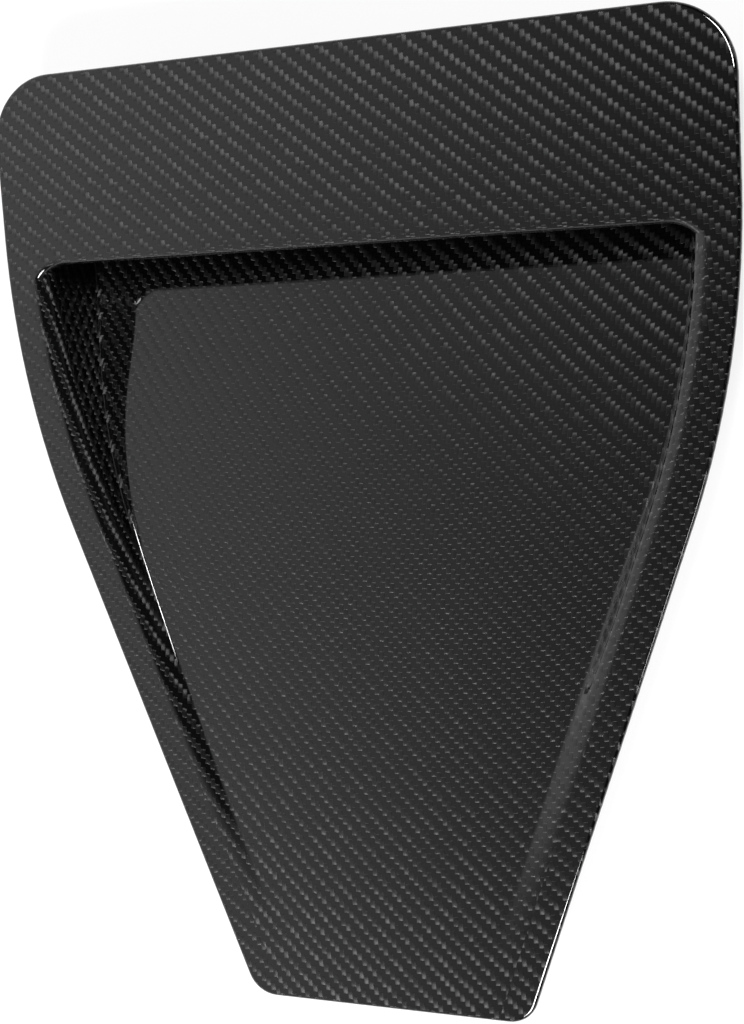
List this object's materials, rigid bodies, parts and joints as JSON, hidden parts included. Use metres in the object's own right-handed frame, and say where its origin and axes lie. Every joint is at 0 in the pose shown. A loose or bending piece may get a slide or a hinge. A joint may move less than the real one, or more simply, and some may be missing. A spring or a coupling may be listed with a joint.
{
  "type": "bonnet vent",
  "caption": "Glossy carbon-fibre bonnet vent: a tapered flat flange around a ramp that dives under a wide lip into an open throat.",
  "frame": {"origin": "middle of the wide band's flat underside, on the plane that is bonded to the bonnet", "axes": "+Z points out of the bonnet, +Y along the vent towards its wide end, +X across it"},
  "size_m": [0.31, 0.392, 0.0426],
  "materials": {
    "carbon": "clear-coated twill carbon fibre"
  },
  "bodies": {
    "root": {"vent_shell": "carbon"}
  },
  "joints": []
}
